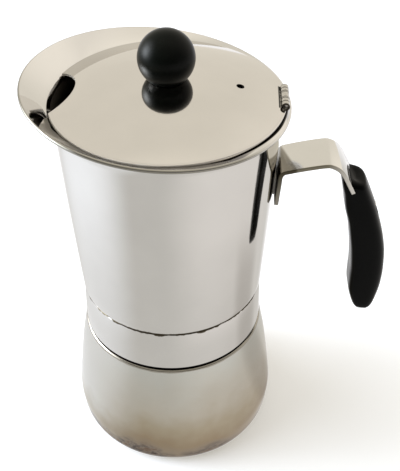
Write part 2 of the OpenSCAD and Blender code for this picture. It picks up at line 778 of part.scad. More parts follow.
module grip_body() {
    sides = 28;
    inner_round = 0.4;
    outer_round = 0.7;
    inner = curve(grip_inner, 3);
    outer = curve(grip_outer, 3);
    half = curve(grip_half, 3);
    base_z = grip_top_z - grip_len;
    skin([for (i = [0 : len(inner) - 1]) let (
            a = [arch_x + inner[i][0] * grip_reach, base_z + inner[i][1] * grip_len],
            b = [arch_x + outer[i][0] * grip_reach, base_z + outer[i][1] * grip_len],
            middle = (a + b) / 2, reach = (b - a) / 2)
        [for (j = [0 : sides - 1]) let (t = 360 * j / sides,
                roundness = cos(t) < 0 ? inner_round : outer_round,
                u = sign(cos(t)) * pow(abs(cos(t)), roundness),
                v = sign(sin(t)) * pow(abs(sin(t)), roundness))
            [middle[0] + reach[0] * u, v * half[i] * grip_w / 2, middle[1] + reach[1] * u]]]);
}

module grip() {
    color("#161616") difference() {
        grip_body();
        strap_shape(slot_gap);
        along_x(screw_start_x - 0.4) cylinder(h = screw_len + 1, r = screw_r + fit, $fn = 48);
        along_x(screw_head_x) cylinder(h = 20, r = screw_head_r + 0.2, $fn = 48);
    }
}

module grip_screw() {
    recess = 1;
    color("lightgray") difference() {
        union() {
            along_x(screw_start_x) cylinder(h = screw_len + 0.1, r = screw_r - fit, $fn = 48);
            along_x(screw_head_x + fit) cylinder(h = screw_head_t, r = screw_head_r, $fn = 48);
        }
        for (a = [0, 90])
            translate([screw_head_x + fit + screw_head_t - recess, 0, screw_z]) rotate([a, 0, 0])
                translate([0, -1.7, -0.35]) cube([2 * recess, 3.4, 0.7]);
    }
}

boiler_shell();
thread_ring();
valve_seat();
valve_body();
valve_washer();
valve_nut();
valve_pin();
valve_spring();
valve_cap();
basket();
basket_plate();
funnel_stem();
gasket();
collar();
vessel_floor();
filter_plate();
coffee_column();
column_cap();
vessel_shell();
pouring_lip();
hinge_leaf();
hinge_pin();
lid();
lid_knuckles();
knob();
knob_insert();
knob_screw();
knob_washer();
strap_pad();
handle_strap();
grip();
grip_screw();
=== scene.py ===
"""The looks of a polished steel moka pot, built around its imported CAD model. Metres, +Z up."""

import math

import bmesh
import bpy
import numpy as np
from mathutils import Matrix, Vector


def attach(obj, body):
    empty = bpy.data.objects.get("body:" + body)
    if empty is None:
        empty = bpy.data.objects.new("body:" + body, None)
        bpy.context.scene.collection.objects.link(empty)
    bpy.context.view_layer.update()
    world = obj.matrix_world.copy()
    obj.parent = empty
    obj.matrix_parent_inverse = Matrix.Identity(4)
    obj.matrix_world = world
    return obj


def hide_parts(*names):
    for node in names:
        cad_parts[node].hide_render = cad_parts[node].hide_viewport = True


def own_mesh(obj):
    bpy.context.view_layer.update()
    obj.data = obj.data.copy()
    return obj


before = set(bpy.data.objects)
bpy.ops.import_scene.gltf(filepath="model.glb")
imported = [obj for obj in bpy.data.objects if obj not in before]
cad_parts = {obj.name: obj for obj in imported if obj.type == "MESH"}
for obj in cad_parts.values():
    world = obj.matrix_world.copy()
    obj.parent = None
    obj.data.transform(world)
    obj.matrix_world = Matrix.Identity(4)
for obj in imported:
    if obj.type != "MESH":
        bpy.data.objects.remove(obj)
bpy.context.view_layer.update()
MM = 0.001
TAU = 2 * math.pi

# ---- sizes, in millimetres, as in the CAD model unless marked otherwise ----
# Boiler
BOILER_R = 50.0
BELLY_Z = 14.0
FOOT_R = 45.0
FOOT_FLAT_R = FOOT_R - 3
FOOT_TOP_Z = BELLY_Z * 0.57
SHOULDER_R = 43.0
SHOULDER_ROUND = 1.2
BOILER_H = 64.4
BOILER_WALL = 1.2
BOILER_BASE = 1.6
BOILER_MOUTH_R = 37.7

# Thread ring; the turns of the thread are this script's own
THREAD_R = 38.4
THREAD_WALL = 3.6
THREAD_H = 15.6
THREAD_PITCH = 3.5
THREAD_DEPTH = 0.9
THREAD_FADE = 1.5
SPIGOT_H = 4.0

# Safety valve
SPRING_WIRE_R = 0.3

# Collar and vessel
COLLAR_LOW_Z = 65.7
COLLAR_IN_R = 39.0
COLLAR_R = 42.6
COLLAR_TOP_R = 41.8
COLLAR_ROUND = 0.8
GROOVE_Z = 88.0
VESSEL_R = 42.1
MOUTH_R = 46.4
VESSEL_H = 180.8
VESSEL_BULGE = 0.25
NECK_H = 4.5
NECK_OUT = 1.4
NECK_CURVE = 1.6
VESSEL_WALL = 1.0

# Pouring lip; the inner bend and the filled crease are this script's own
CREASE_Z = 182.2
RIM_R = 54.0
RIM_SHIFT = 4.2
RIM_Z = 185.8
RIM_SLOPE = 0.1
BEAD_R = 0.8
LIP_BEND = 1.4
LIP_BEND_IN = 1.12
LIP_LEAST = 1.0
CREASE_FILL = 0.9
FILL_END_COS = -0.87
FILL_SOFT_COS = 0.15

# Lid, hinge and knob; the rounding of the lid's edge and the seam's width are this script's own
LID_R = 47.8
LID_LOW_Z = 182.5
LID_EDGE_H = 1.0
LID_RISE = 8.1
LID_WALL = 0.9
LID_ROUND = 0.4
LID_TOP_Z = LID_LOW_Z + LID_EDGE_H + LID_RISE
LID_CENTRE_R = 0.6
SEAT_R = LID_R + 0.3
SEAM_WIDE = 0.4
VENT_R = 1.6
VENT_X = 29.0
SCALLOP_X = 36.9
SCALLOP_R = 18.6
HINGE_X = 46.9
BARREL_R = 1.7
BARREL_LEN = 15.0
BARREL_RECESS = 0.4
KNUCKLE_Y = 2.65
BALL_R = 11.4
BALL_SEAT = 0.77
KNOB_BORE_R = 3.3
KNOB_LIFT = 0.05

# Handle
STRAP_W = 20.0
STRAP_T = 1.8
STRAP_EDGE = 0.35
STRAP_BEND_Z = 155.6
PAD_T = 0.5
BEND_H = 7.0
LEG_H = 11.2
ARCH_X = 65.4
CREST_Z = 158.9
GRIP_REACH = 33.4
GRIP_LEN = 77.3
GRIP_W = 16.8
HOOK_REACH = 0.587 * GRIP_REACH
HOOK_DROP = 0.453 * GRIP_LEN
TONGUE_W = 10.0
SLOT_GAP = 0.15
SLOT_EDGE = 0.3
SCREW_X = ARCH_X + HOOK_REACH
SCREW_Z = CREST_Z - 0.83 * HOOK_DROP
SCREW_R = 1.6
SCREW_FIT = 0.05
SCREW_HEAD_R = 3.0
SCREW_HEAD_X = SCREW_X + 3.4
SCREW_HEAD_FIT = 0.2

# ---- the photograph's view: a camera fitted to the rings of the pot ----
IMAGE_W = 400
FOCAL_PX = 787.7
CAMERA_MM = (25.4, -273.5, 347.8)
YAW, PITCH, ROLL = -0.0445, 0.715, 0.003


def add_object(name, data):
    """A new object in the scene."""
    added = bpy.data.objects.new(name, data)
    bpy.context.scene.collection.objects.link(added)
    return added


def add_camera():
    """The photograph's camera; yaw, pitch and roll are in radians."""
    data = bpy.data.cameras.new("view")
    data.sensor_fit = "HORIZONTAL"
    data.sensor_width = 36.0
    data.lens = FOCAL_PX / IMAGE_W * data.sensor_width
    data.clip_start = 0.01
    camera = add_object("view", data)
    forward = Vector((
        math.sin(YAW) * math.cos(PITCH), math.cos(YAW) * math.cos(PITCH), -math.sin(PITCH)))
    level = Vector((math.cos(YAW), -math.sin(YAW), 0))
    rise = level.cross(forward)
    right = level * math.cos(ROLL) + rise * math.sin(ROLL)
    up = rise * math.cos(ROLL) - level * math.sin(ROLL)
    turn = Matrix((right, up, -forward)).transposed()
    camera.matrix_world = Matrix.Translation(Vector(CAMERA_MM) * MM) @ turn.to_4x4()
    bpy.context.scene.camera = camera


# ---- mesh helpers ----
def mesh_piece(name, verts_mm, faces, smooth_deg=35):
    """A smooth-shaded mesh from points in millimetres."""
    mesh = bpy.data.meshes.new(name)
    mesh.from_pydata([tuple(c * MM for c in v) for v in verts_mm], [], faces)
    mesh.update()
    piece = add_object(name, mesh)
    bm = bmesh.new()
    bm.from_mesh(mesh)
    bmesh.ops.recalc_face_normals(bm, faces=bm.faces)
    bm.to_mesh(mesh)
    bm.free()
    shade(piece, smooth_deg)
    return piece


def shade(piece, smooth_deg=35):
    """Smooth faces, with sharp edges where two faces meet at more than smooth_deg."""
    mesh = piece.data
    for polygon in mesh.polygons:
        polygon.use_smooth = True
    mesh.set_sharp_from_angle(angle=math.radians(smooth_deg))


def grid_faces(rows, columns, close_rows, close_columns):
    """Four-sided faces over rows of points, closed into a ring in either direction where asked."""
    faces = []
    for i in range(rows if close_rows else rows - 1):
        for j in range(columns if close_columns else columns - 1):
            k, m = (i + 1) % rows, (j + 1) % columns
            faces.append((i * columns + j, k * columns + j, k * columns + m, i * columns + m))
    return faces


def all_round(sides):
    """Angles at equal steps about an axis."""
    return np.arange(sides) * TAU / sides


def at_angle(profile, a):
    """A profile of (radius, height) points, placed at an angle about the pot's axis."""
    return [(r * math.cos(a), r * math.sin(a), z) for r, z in profile]


def revolve(name, profile, sides=192):
    """A closed profile of (radius, height) points, turned about the pot's axis."""
    verts = [v for a in all_round(sides) for v in at_angle(profile, a)]
    return mesh_piece(name, verts, grid_faces(sides, len(profile), True, True))


def loft(name, verts, count, smooth_deg):
    """A closed mesh through sections of count points each, with flat ends."""
    faces = grid_faces(len(verts) // count, count, False, True)
    faces += [tuple(range(count)), tuple(range(len(verts) - count, len(verts)))]
    return mesh_piece(name, verts, faces, smooth_deg)


def curve(points, steps):
    """A Catmull-Rom curve through all points."""
    p = np.array(points, float)
    out = []
    for i in range(len(p) - 1):
        a, b, c, d = p[max(i - 1, 0)], p[i], p[i + 1], p[min(i + 2, len(p) - 1)]
        for k in range(steps):
            t = k / steps
            out.append(0.5 * (2 * b + (c - a) * t + (2 * a - 5 * b + 4 * c - d) * t**2
                              + (3 * b - a - 3 * c + d) * t**3))
    return out + [p[-1]]


def arc(centre, radius, start_deg, end_deg, steps):
    """Points along an arc in a profile."""
    angles = [math.radians(start_deg + (end_deg - start_deg) * k / steps) for k in range(steps + 1)]
    return [(centre[0] + radius * math.cos(a), centre[1] + radius * math.sin(a)) for a in angles]


def combine(piece, other, operation):
    """Applies a boolean between two closed meshes, and removes the other one."""
    modifier = piece.modifiers.new("combine", "BOOLEAN")
    modifier.operation = operation
    modifier.solver = "EXACT"
    modifier.object = other
    evaluated = piece.evaluated_get(bpy.context.evaluated_depsgraph_get())
    mesh = bpy.data.meshes.new_from_object(evaluated)
    piece.modifiers.clear()
    piece.data = mesh
    bpy.data.objects.remove(other)


def cut(piece, cutter):
    """Takes the cutter's volume out of a piece."""
    combine(piece, cutter, "DIFFERENCE")


def rod(name, start_mm, end_mm, radius_mm, sides=64):
    """A closed cylinder between two points."""
    bm = bmesh.new()
    start, end = Vector(start_mm) * MM, Vector(end_mm) * MM
    length = (end - start).length
    bmesh.ops.create_cone(bm, cap_ends=True, segments=sides, radius1=radius_mm * MM,
                          radius2=radius_mm * MM, depth=length)
    turn = (end - start).to_track_quat("Z", "Y").to_matrix().to_4x4()
    bm.transform(Matrix.Translation((start + end) / 2) @ turn)
    mesh = bpy.data.meshes.new(name)
    bm.to_mesh(mesh)
    bm.free()
    return add_object(name, mesh)


def block(name, low_mm, high_mm):
    """A closed box between two corners."""
    (x0, y0, z0), (x1, y1, z1) = low_mm, high_mm
    verts = [(x, y, z) for x in (x0, x1) for y in (y0, y1) for z in (z0, z1)]
    faces = [(0, 1, 3, 2), (4, 6, 7, 5), (0, 4, 5, 1), (2, 3, 7, 6), (0, 2, 6, 4), (1, 5, 7, 3)]
    return mesh_piece(name, verts, faces)


# ---- materials ----
def feed(tree, value, socket):
    """Links an input to the socket given, or sets its value; a colour is an RGB triple."""
    if isinstance(value, bpy.types.NodeSocket):
        tree.links.new(value, socket)
    elif socket.type == "RGBA":
        socket.default_value = (*value, 1)
    else:
        socket.default_value = value


def new_node(tree, kind, *first, **values):
    """A new node; first feeds its first inputs, and values its inputs and settings by name."""
    node = tree.nodes.new(kind)
    for key, value in values.items():
        if key in node.inputs:
            feed(tree, value, node.inputs[key])
        else:
            setattr(node, key, value)
    for value, socket in zip(first, node.inputs):
        feed(tree, value, socket)
    return node


def map_range(tree, value, from_range, to_range, kind="LINEAR"):
    """Maps one range of a socket's value onto another, clamped at both ends."""
    node = new_node(tree, "ShaderNodeMapRange", value, *from_range, *to_range,
                    interpolation_type=kind)
    return node.outputs["Result"]


def dot(tree, first, second):
    """The dot product of two vectors, each a socket or three numbers."""
    node = new_node(tree, "ShaderNodeVectorMath", first, second, operation="DOT_PRODUCT")
    return node.outputs["Value"]


def unit(tree, vector):
    """The vector of length 1 in the same direction."""
    node = new_node(tree, "ShaderNodeVectorMath", vector, operation="NORMALIZE")
    return node.outputs["Vector"]


def scaled(colour, by):
    """A darker or brighter colour of the same hue."""
    return tuple(c * by for c in colour)


class Nodes:
    """Short calls for building a material."""

    def __init__(self, name):
        self.material = bpy.data.materials.new(name)
        self.material.use_nodes = True
        self.tree = self.material.node_tree
        self.shader = self.tree.nodes["Principled BSDF"]

    def add(self, kind, *first, **values):
        """A new node in the material, as new_node makes it."""
        return new_node(self.tree, kind, *first, **values)

    def set(self, **values):
        """Feeds inputs of the shader; an underscore stands for a blank."""
        for key, value in values.items():
            feed(self.tree, value, self.shader.inputs[key.replace("_", " ")])

    def position(self, scale=(1, 1, 1)):
        """The place on the piece, in metres, stretched by scale."""
        place = self.add("ShaderNodeTexCoord").outputs["Object"]
        return self.add("ShaderNodeMapping", Vector=place, Scale=scale).outputs["Vector"]

    def normal(self):
        """The surface's direction on the piece."""
        return self.add("ShaderNodeTexCoord").outputs["Normal"]

    def noise(self, vector, scale, detail=3.0, roughness=0.5):
        node = self.add("ShaderNodeTexNoise", Vector=vector, Scale=scale, Detail=detail,
                        Roughness=roughness)
        return node.outputs["Fac"]

    def ramp(self, factor, stops):
        """A colour ramp; each stop is a place from 0 to 1 and an RGB triple."""
        node = self.add("ShaderNodeValToRGB", Fac=factor)
        ramp = node.color_ramp
        while len(ramp.elements) < len(stops):
            ramp.elements.new(0.5)
        for element, (place, colour) in zip(ramp.elements, stops):
            element.position = place
            element.color = (*colour, 1)
        return node.outputs["Color"]

    def span(self, value, low, high, to_low=0.0, to_high=1.0):
        """Maps low to high onto 0 to 1, or onto two other values."""
        return map_range(self.tree, value, (low, high), (to_low, to_high))

    def mix(self, factor, first, second, blend="MIX"):
        """Blends two colours, each a socket or an RGB triple; factor is a socket or a number."""
        node = self.add("ShaderNodeMix", data_type="RGBA", blend_type=blend)
        # The node has inputs of one name for each data type; 6, 7 and output 2 are its colours
        for value, number in ((factor, 0), (first, 6), (second, 7)):
            feed(self.tree, value, node.inputs[number])
        return node.outputs[2]

    def math(self, operation, first, second=0.0):
        return self.add("ShaderNodeMath", first, second, operation=operation).outputs["Value"]

    def split(self, vector):
        """The X, Y and Z sockets of a vector."""
        node = self.add("ShaderNodeSeparateXYZ", Vector=vector)
        return node.outputs["X"], node.outputs["Y"], node.outputs["Z"]

    def radius(self, place):
        """Distance from the pot's axis, in metres."""
        x, y, _ = self.split(place)
        squares = self.math("ADD", self.math("MULTIPLY", x, x), self.math("MULTIPLY", y, y))
        return self.math("SQRT", squares)

    def band(self, value, low_mm, high_mm, soft_mm):
        """1 between two lengths, with soft borders."""
        start = self.span(value, (low_mm - soft_mm) * MM, low_mm * MM)
        end = self.span(value, high_mm * MM, (high_mm + soft_mm) * MM, 1.0, 0.0)
        return self.math("MULTIPLY", start, end)

    def stain(self, amount, colour, dull):
        """Multiplies the colour where amount is 1, and makes the gloss duller there."""
        clean = self.shader.inputs["Base Color"].links[0].from_socket
        gloss = self.shader.inputs["Roughness"].links[0].from_socket
        self.set(Base_Color=self.mix(amount, clean, self.mix(1.0, clean, colour, "MULTIPLY")),
                 Roughness=self.math("ADD", gloss, self.math("MULTIPLY", amount, dull)))

    def bump(self, height, strength, distance, under=None):
        """Adds relief of the given depth, on top of any relief made before it."""
        node = self.add("ShaderNodeBump", Strength=strength, Distance=distance, Height=height)
        if under:
            feed(self.tree, under, node.inputs["Normal"])
        self.set(Normal=node.outputs["Normal"])
        return node.outputs["Normal"]


STEEL = (0.70, 0.69, 0.67)
LID_STEEL = (0.70, 0.68, 0.65)
STRAP_STEEL = (0.70, 0.69, 0.66)

# Painted shade, some of it with real stain and wear, multiplied into the colour of the steel.
BLACK_SEAM_SHADE = (0.02, 0.018, 0.015)
OLIVE_GROOVE_SHADE = (0.13, 0.11, 0.075)
SHOULDER_HAZE_AND_SHADE = (0.64, 0.6, 0.55)
COFFEE_STAIN_AND_SHADE = (0.28, 0.25, 0.21)
BROWN_SEAM_SHADE = (0.4, 0.33, 0.26)
BEAD_SHADE_LINE = (0.45, 0.44, 0.4)
LID_UNDER_SHADE = (0.5, 0.47, 0.42)
LID_WEAR_AND_SHADE = (0.85, 0.84, 0.82)
HINGE_SLOT_SHADE = (0.03, 0.03, 0.025)
KNUCKLE_GAP_SHADE = (0.1, 0.09, 0.08)
CUT_EDGE_AND_SHADE = (0.3, 0.28, 0.22)
STRAP_UNDER_SHADE = (0.3, 0.28, 0.24)
STRAP_FOOT_SHADE = (0.42, 0.4, 0.36)
THREAD_ROOT_SHADE = (0.5, 0.46, 0.4)

# Flame tint of the boiler with painted shade, from foot (0) to shoulder (1): all round, and on the
# spout's side, painted lighter.
BURNT_TINT_AND_SHADE = [
    (0.0, (0.32, 0.26, 0.21)), (0.13, (0.46, 0.39, 0.33)), (0.25, (0.55, 0.44, 0.31)),
    (0.41, (0.68, 0.60, 0.46)), (0.6, (0.82, 0.78, 0.69)), (0.8, (0.87, 0.86, 0.80)),
    (1.0, (0.89, 0.91, 0.88))]
SPOUT_SIDE_TINT_AND_LIGHT = [(0.0, (0.5, 0.44, 0.4)), (0.18, (0.66, 0.6, 0.48)), (0.45, (0.93, 0.93, 0.91))]
# Burnt spots near the foot, by the value of the noise that places them.
BURN_MARKS = [
    (0.36, (0.45, 0.25, 0.13)), (0.43, (0.7, 0.6, 0.5)), (0.48, (1, 1, 1)),
    (0.51, (0.45, 0.42, 0.45)), (0.56, (0.16, 0.12, 0.11))]


def polished_steel(name, colour, haze=0.05, hair=(40, 40, 900)):
    """Mirror-polished sheet: faintly wavy, with smudges and with hairlines drawn out by hair.

    The clean tint stays in n.tone, for a material that tints it further.
    """
    n = Nodes(name)
    place = n.position()
    cloud = n.noise(place, 45, 3)
    n.tone = n.ramp(cloud, [(0.35, scaled(colour, 0.965)), (0.65, colour)])
    hairs = n.noise(n.position(hair), 6, 4, 0.6)
    smudge = n.span(cloud, 0.42, 0.7, 0.0, 0.35)
    gloss = n.math("ADD", n.span(hairs, 0.3, 0.75, 0.7, 1.4), smudge)
    n.set(Metallic=1.0, Base_Color=n.tone, Roughness=n.math("MULTIPLY", gloss, haze))
    waves = n.bump(n.noise(place, 28, 1), 0.5, 0.1 * MM)
    n.bump(hairs, 0.06, 0.02 * MM, waves)
    return n


def seam_shade(n, height):
    """Painted shade in the seams of the pot: under the collar, on the boiler's shoulder below it,
    and in the groove above it.
    """
    worn = n.span(n.noise(n.position(), 90, 3), 0.3, 0.7, -0.4 * MM, 0.4 * MM)
    ragged = n.span(n.noise(n.position((1, 1, 0.6)), 170, 4, 0.65), 0.32, 0.68, -0.6 * MM, 0.6 * MM)
    seam = n.band(height, BOILER_H - 0.05, COLLAR_LOW_Z + 0.6, 0.15)
    shoulder = n.band(n.math("ADD", height, worn), BOILER_H - 1.1, BOILER_H, 0.3)
    groove = n.band(n.math("ADD", height, ragged), GROOVE_Z - 0.75, GROOVE_Z + 0.6, 0.3)
    # Painted shade: black in the seam, darker on the shoulder below it, and olive in the groove
    n.stain(seam, BLACK_SEAM_SHADE, 0.3)
    n.stain(shoulder, SHOULDER_HAZE_AND_SHADE, 0.1)
    n.stain(groove, OLIVE_GROOVE_SHADE, 0.25)


def vessel_steel():
    """Polished outside with painted shade in its seams; dull inside, with coffee stain and painted
    shade.
    """
    n = polished_steel("vessel_steel", STEEL)
    _, _, height = n.split(n.position())
    seam_shade(n, height)
    # Inside the pot: coffee stain, and painted shade that darkens the inside
    outward = dot(n.tree, n.normal(), n.position((1, 1, 0)))
    below_lip = n.span(height, (VESSEL_H - 0.1) * MM, CREASE_Z * MM, 1.0, 0.0)
    inner = n.math("MULTIPLY", n.span(outward, 0.0, -0.01), below_lip)
    n.stain(inner, COFFEE_STAIN_AND_SHADE, 0.4)
    return n


def lip_steel():
    """Polished steel, with painted shade where the lid's edge meets the lip and a painted dark line
    of shade on the bead.
    """
    n = polished_steel("lip_steel", STEEL)
    place = n.position()
    x, y, z = n.split(place)

    # Painted shade in the seam along the lid's edge, seen on the front only and widest on the
    # handle's side
    front = n.span(y, 12 * MM, -4 * MM)
    inside = n.math("MULTIPLY", front, n.span(z, (CREASE_Z - 0.6) * MM, (CREASE_Z - 0.3) * MM))
    widening = n.span(x, 26 * MM, 46 * MM, 0.0, SEAM_WIDE * MM)
    edge = n.math("SUBTRACT", n.radius(place), widening)
    near = n.span(edge, (SEAT_R + 0.05) * MM, (SEAT_R + 0.3) * MM, 1.0, 0.0)
    seam = n.math("MULTIPLY", inside, near)
    n.stain(n.math("MULTIPLY", seam, n.span(x, 22 * MM, 30 * MM)), BLACK_SEAM_SHADE, 0.25)
    n.stain(n.math("MULTIPLY", seam, n.span(y, -14 * MM, -18 * MM)), BROWN_SEAM_SHADE, 0.25)

    # The bead lies on a circle of its own, shifted towards the spout
    shifted = n.add("ShaderNodeMapping", Vector=place, Location=(RIM_SHIFT * MM, 0, 0))
    bead = n.span(n.radius(shifted.outputs["Vector"]), (RIM_R - 1) * MM, (RIM_R - 0.5) * MM)
    # Painted shade: a dark line along the bead, away from the handle's side
    n.stain(n.math("MULTIPLY", bead, n.span(x, 45 * MM, 30 * MM)), BEAD_SHADE_LINE, 0.1)
    return n


def lid_steel():
    """Hazy polished steel, dull and with painted shade underneath, worn and painted darker at its
    edge, and with painted shade in the notch of the hinge.
    """
    n = polished_steel("lid_steel", LID_STEEL, 0.06, (400, 400, 40))
    x, y, _ = n.split(n.position())
    _, _, up = n.split(n.normal())
    # Painted shade on the underside
    n.stain(n.span(up, 0.0, -0.3), LID_UNDER_SHADE, 0.35)
    # The edge on the spout's side: worn dull, and painted darker as shade
    worn = n.math("MULTIPLY", n.span(up, 0.93, 0.88), n.span(x, 30 * MM, 10 * MM))
    n.stain(worn, LID_WEAR_AND_SHADE, 0.75)
    # Painted shade in the notch of the hinge
    notch_end = BARREL_LEN / 2 + BARREL_RECESS
    beside = n.span(n.math("ABSOLUTE", y), notch_end * MM, (notch_end + 0.5) * MM, 1.0, 0.0)
    n.stain(n.math("MULTIPLY", beside, n.span(x, 44.1 * MM, 44.4 * MM)), HINGE_SLOT_SHADE, 0.3)
    return n


def hinge_steel():
    """Dull grey sheet, with painted shade in the gaps between the hinge's knuckles."""
    n = satin_steel("hinge_steel", (0.6, 0.58, 0.54), 0.25)
    across = n.math("ABSOLUTE", n.split(n.position())[1])
    # Painted shade in the gaps between the knuckles
    for seam_y in (KNUCKLE_Y, KNUCKLE_Y + 2.4, BARREL_LEN / 2):
        n.stain(n.band(across, seam_y - 0.2, seam_y + 0.2, 0.15), KNUCKLE_GAP_SHADE, 0.2)
    return n


def strap_steel():
    """Polished faces, dull olive cut edges with painted shade, painted shade on the faces that look
    down and in, and painted shade at its foot.
    """
    n = polished_steel("strap_steel", STRAP_STEEL, 0.07, (60, 1200, 60))
    x, y, z = n.split(n.position())

    # The olive of the cut edges, dull steel with painted shade, fades down the leg and towards the
    # grip
    edge = n.span(n.math("ABSOLUTE", y), (STRAP_W / 2 - 0.45) * MM, (STRAP_W / 2 - 0.2) * MM)
    edge = n.math("MULTIPLY", edge, n.span(z, 139 * MM, 154 * MM, 0.2, 1.0))
    n.stain(n.math("MULTIPLY", edge, n.span(x, 66 * MM, 74 * MM, 1.0, 0.35)), CUT_EDGE_AND_SHADE, 0.3)

    # Painted shade on the faces that look down and towards the vessel
    facing_x, _, facing_z = n.split(n.normal())
    n.stain(n.span(n.math("ADD", facing_x, facing_z), -0.5, -0.8), STRAP_UNDER_SHADE, 0.2)

    # Painted shade at the foot of the strap, against the vessel
    slanted = n.math("ADD", x, n.math("MULTIPLY", y, 0.31))
    n.stain(n.span(slanted, 51 * MM, 50 * MM), STRAP_FOOT_SHADE, 0.1)
    return n


def boiler_steel():
    """Polished steel tinted straw and brown from the foot up, partly by years on a flame and partly
    as painted shade.
    """
    n = polished_steel("boiler_steel", STEEL, 0.085)
    place = n.position()
    _, _, z = n.split(place)
    blur = n.span(n.noise(place, 35, 3, 0.6), 0.3, 0.7, -6 * MM, 6 * MM)
    height = n.span(n.math("ADD", z, blur), 0.0, 64 * MM)

    # How far a place faces the spout, where the tint is painted lighter as the window lights that
    # side
    spout_side = dot(n.tree, unit(n.tree, n.position((1, 1, 0))), (-1, 0, 0))
    burnt_and_shaded, clean = n.ramp(height, BURNT_TINT_AND_SHADE), n.ramp(height, SPOUT_SIDE_TINT_AND_LIGHT)
    tint = n.mix(n.span(spout_side, 0.25, 0.8), burnt_and_shaded, clean)

    marks = n.ramp(n.noise(n.position((1, 1, 1.8)), 150, 5, 0.7), BURN_MARKS)
    low = n.math("MULTIPLY", n.span(height, 0.09, 0.2, 0.95, 0.0),
                 n.span(spout_side, -0.6, 0.1, 0.6, 1.0))
    tint = n.mix(low, tint, n.mix(1.0, tint, marks, "MULTIPLY"))
    n.set(Base_Color=n.mix(1.0, n.tone, tint, "MULTIPLY"))
    seam_shade(n, z)
    return n


def satin_steel(name, colour, roughness):
    """Turned or brushed steel: a fine grain across, and no mirror."""
    n = Nodes(name)
    grain = n.noise(n.position((300, 1500, 1500)), 2, 4, 0.6)
    n.set(Metallic=1.0, Base_Color=n.ramp(grain, [(0.3, scaled(colour, 0.88)), (0.7, colour)]),
          Roughness=n.span(grain, 0.25, 0.75, roughness * 0.8, roughness * 1.25))
    n.bump(grain, 0.05, 0.2 * MM)
    return n


def thread_steel():
    """Satin steel, with a little painted shade at the roots of the thread."""
    n = satin_steel("thread_steel", (0.62, 0.6, 0.57), 0.25)
    depth = n.span(n.radius(n.position()), (THREAD_R - 0.45) * MM, (THREAD_R - 0.8) * MM)
    # Painted shade at the roots of the thread
    n.stain(depth, THREAD_ROOT_SHADE, 0.15)
    return n


def plain(name, colour, roughness, metallic=0.0):
    """An even material with a fine grain."""
    n = Nodes(name)
    grain = n.noise(n.position(), 900, 3)
    n.set(Metallic=metallic, Base_Color=n.ramp(grain, [(0.3, scaled(colour, 0.85)), (0.7, colour)]),
          Roughness=n.span(grain, 0.3, 0.7, roughness * 0.85, roughness * 1.15))
    n.bump(grain, 0.04, 0.2 * MM)
    return n


def phenolic(name, colour, roughness, shine):
    """Dull black phenolic: a faint mottle, rubbed patches that shine more, and a fine grain."""
    n = Nodes(name)
    place = n.position()
    rubbed = n.noise(place, 70, 4, 0.6)
    n.set(Specular_IOR_Level=shine,
          Base_Color=n.ramp(rubbed, [(0.35, colour), (0.7, scaled(colour, 1.5))]),
          Roughness=n.span(rubbed, 0.3, 0.7, roughness * 1.15, roughness * 0.85))
    grain = n.bump(n.noise(place, 2500, 2), 0.08, 0.03 * MM)
    n.bump(rubbed, 0.1, 0.1 * MM, grain)
    return n


MATERIALS = {
    "boiler": boiler_steel().material,
    "vessel": vessel_steel().material,
    "lip": lip_steel().material,
    "lid": lid_steel().material,
    "strap": strap_steel().material,
    "thread": thread_steel().material,
    "turned": satin_steel("turned_steel", (0.55, 0.54, 0.52), 0.32).material,
    "satin": satin_steel("satin_steel", (0.6, 0.58, 0.54), 0.2).material,
    "hinge": hinge_steel().material,
    "pad": satin_steel("pad_steel", (0.3, 0.29, 0.27), 0.4).material,
    "brass": plain("valve_brass", (0.6, 0.43, 0.2), 0.3, 1.0).material,
    "fibre": plain("fibre_washer", (0.28, 0.09, 0.05), 0.7).material,
    "silicone": plain("silicone", (0.78, 0.76, 0.7), 0.5).material,
    "knob": phenolic("knob_black", (0.0012, 0.0018, 0.0012), 0.3, 0.09).material,
    "grip": phenolic("grip_black", (0.001, 0.0012, 0.001), 0.2, 0.06).material,
}


def dress(piece, material, body, slot, *nodes):
    """Gives a piece its material and body, and hides the CAD nodes that it stands for. The slot is
    not used.
    """
    piece.data.materials.clear()
    piece.data.materials.append(MATERIALS[material])
    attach(piece, body)
    if nodes:
        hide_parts(*nodes)


# ---- boiler ----
def boiler_profile():
    """Outside from the flat bottom up to the mouth, then inside and down again."""
    taper, rise = BOILER_R - SHOULDER_R, BOILER_H - BELLY_Z
    side = curve([
        (BOILER_R - 0.5, FOOT_TOP_Z),
        (BOILER_R, BELLY_Z),
        (BOILER_R - 0.45, BELLY_Z + 6),
        (BOILER_R - 0.28 * taper, BELLY_Z + 0.37 * rise),
        (BOILER_R - 0.62 * taper, BELLY_Z + 0.7 * rise),
        (SHOULDER_R, BOILER_H - SHOULDER_ROUND)], 10)
    reach = BOILER_R - FOOT_R + 2.5
    foot = [(FOOT_FLAT_R + reach * math.cos(a), FOOT_TOP_Z * (1 + math.sin(a)))
            for a in np.radians(np.arange(-90, 0, 7.5))]
    shoulder = arc((SHOULDER_R - SHOULDER_ROUND, BOILER_H - SHOULDER_ROUND), SHOULDER_ROUND,
                   15, 90, 5)
    under_z = BOILER_H - BOILER_WALL
    inside = [(BOILER_MOUTH_R, BOILER_H), (BOILER_MOUTH_R, under_z), (SHOULDER_R - 2, under_z)]
    inside += [(r - BOILER_WALL, z) for r, z in reversed(side)]
    inside += [(FOOT_FLAT_R + (reach - BOILER_WALL) * math.cos(a),
                BOILER_BASE + (FOOT_TOP_Z - BOILER_BASE) * (1 + math.sin(a)))
               for a in np.radians(np.arange(-7.5, -97, -7.5))]
    return foot + side + shoulder + inside


